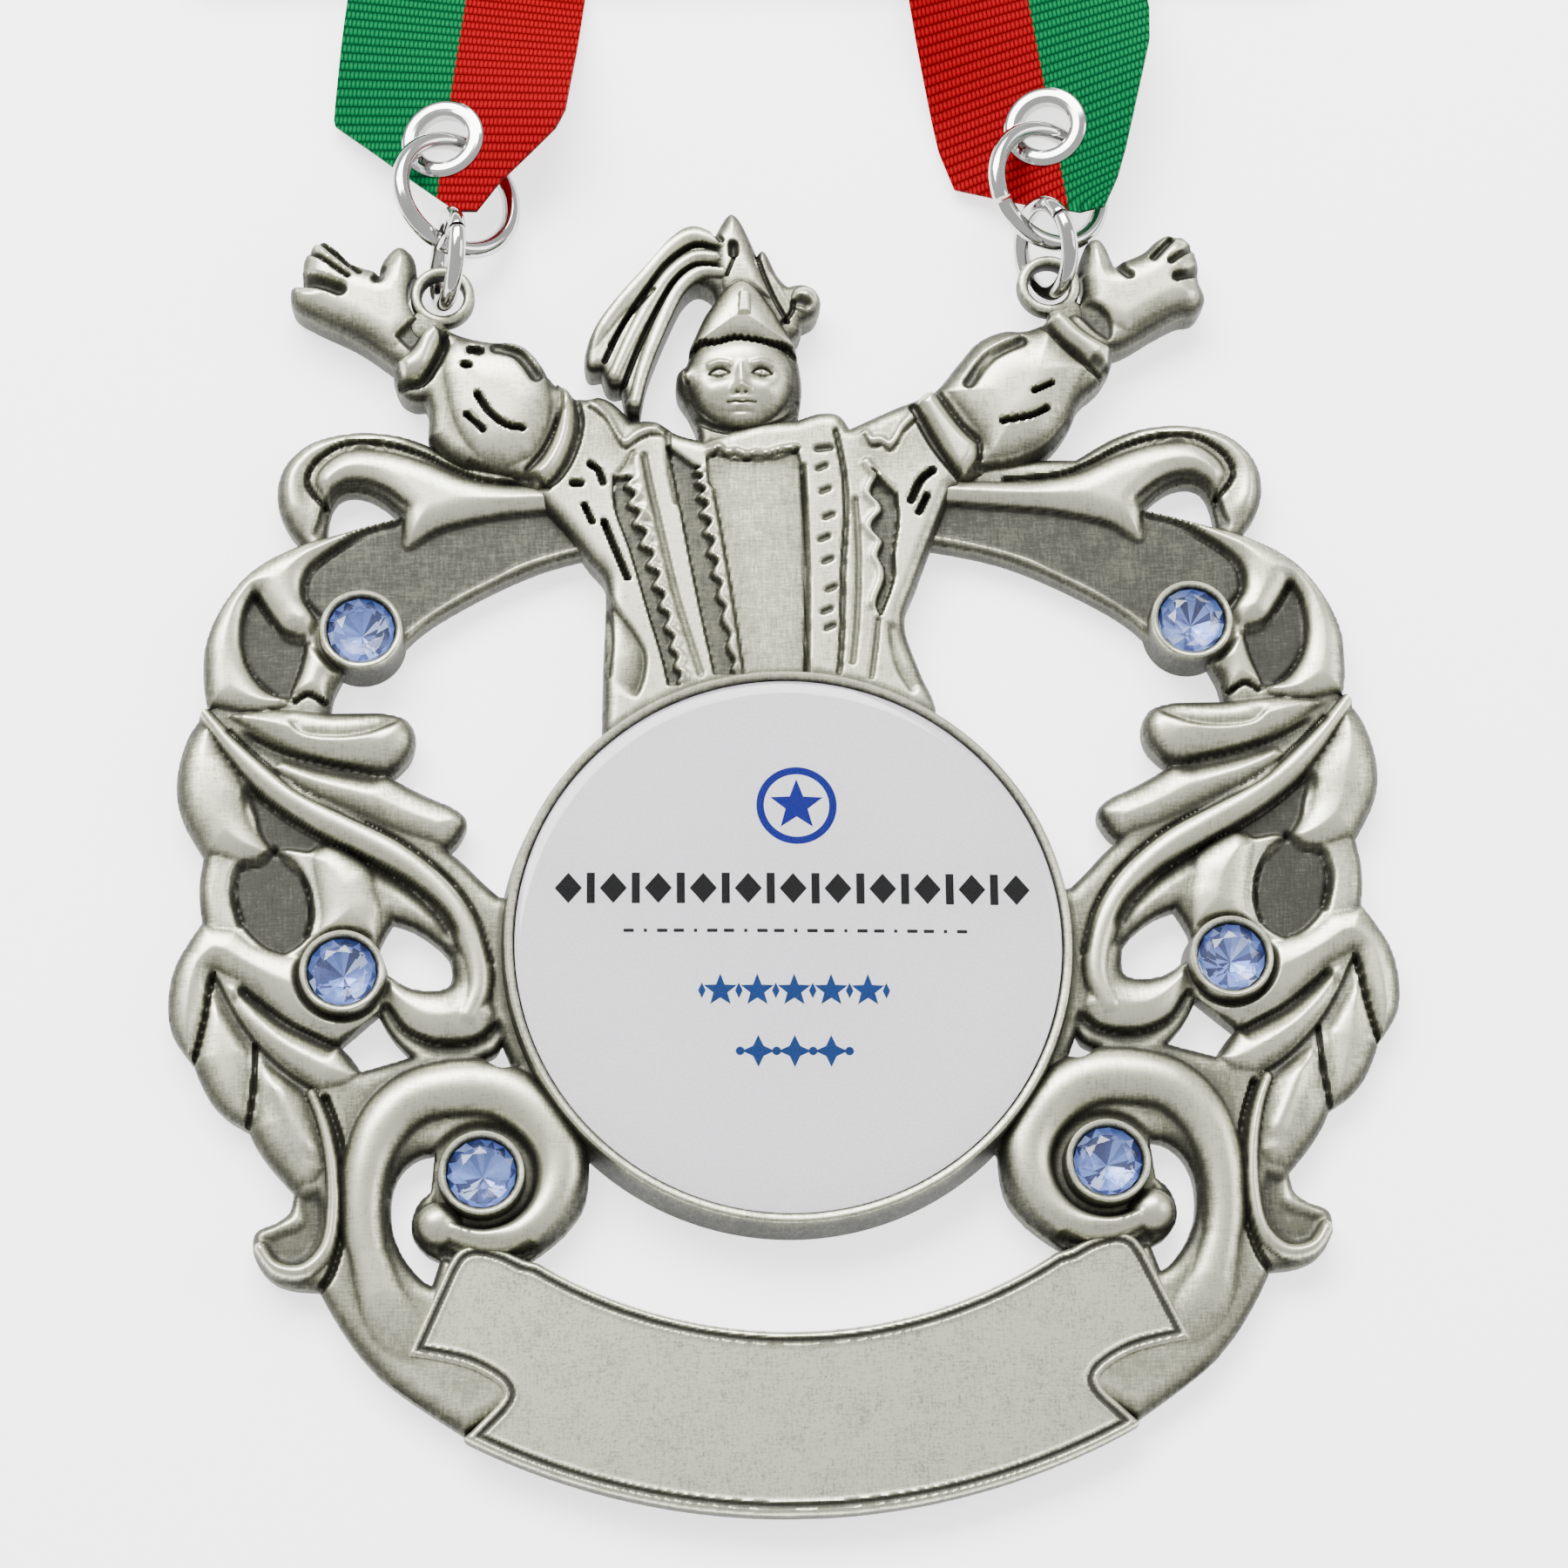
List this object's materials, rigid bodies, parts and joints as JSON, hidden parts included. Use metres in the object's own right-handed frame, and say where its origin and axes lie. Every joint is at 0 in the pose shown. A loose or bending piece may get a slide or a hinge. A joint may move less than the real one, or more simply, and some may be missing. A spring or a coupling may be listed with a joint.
{
  "type": "carnival order medal",
  "caption": "Cast medal with a jester-like figure over a domed round emblem, leaf wreath with stones and blank banner, on a two-colour ribbon with jump rings.",
  "frame": {"origin": "centre of the round emblem's back, on the casting's flat back face", "axes": "+X to the wearer's left as seen from the front (the viewer's right), +Y up towards the ribbon, +Z out of the face"},
  "size_m": [0.1126, 0.1755, 0.0102],
  "materials": {
    "antique_nickel": "antique nickel plated casting, brushed",
    "bright_nickel": "bright nickel plated wire",
    "print": "printed film, pale lilac white",
    "resin": "clear domed resin",
    "crystal": "faceted light sapphire stone, foiled back",
    "ribbon": "grosgrain ribbon, half green and half red",
    "paper": "plain white paper band"
  },
  "bodies": {
    "medal": {"medal_casting": "antique_nickel", "printed_disc": "print", "resin_dome": "resin", "stone_upper_left": "crystal", "stone_upper_right": "crystal", "stone_middle_left": "crystal", "stone_middle_right": "crystal", "stone_lower_left": "crystal", "stone_lower_right": "crystal"},
    "small_ring_left": {"small_ring_left": "bright_nickel"},
    "small_ring_right": {"small_ring_right": "bright_nickel"},
    "large_ring_left": {"large_ring_left": "bright_nickel"},
    "large_ring_right": {"large_ring_right": "bright_nickel"},
    "ribbon": {"neck_ribbon": "ribbon", "storage_band": "paper", "eyelet_left": "bright_nickel", "eyelet_right": "bright_nickel", "eyelet_washer_left": "bright_nickel", "eyelet_washer_right": "bright_nickel"}
  },
  "joints": [
    {"name": "small_ring_left_swing", "type": "hinge", "parent": "medal", "child": "small_ring_left", "pos_m": [-0.031, 0.0668, 0.0032], "axis": [1, 0, 0], "range_deg": [-6, 3]},
    {"name": "small_ring_right_swing", "type": "hinge", "parent": "medal", "child": "small_ring_right", "pos_m": [0.0271, 0.0675, 0.0032], "axis": [0.9724, 0.2334, 0], "range_deg": [-6, 3]},
    {"name": "ribbon_lift", "type": "hinge", "parent": "medal", "child": "ribbon", "pos_m": [-0.0305, 0.0675, 0.0052], "axis": [0.9999, 0.014, -0.0052], "range_deg": [0, 45]},
    {"name": "large_ring_left_turn", "type": "hinge", "parent": "ribbon", "child": "large_ring_left", "pos_m": [-0.0308, 0.0806, 0.0036], "axis": [1, 0, 0], "range_deg": [-6, 6]},
    {"name": "large_ring_right_turn", "type": "hinge", "parent": "ribbon", "child": "large_ring_right", "pos_m": [0.0276, 0.0816, 0.0037], "axis": [1, 0, 0], "range_deg": [-3, 3]}
  ]
}
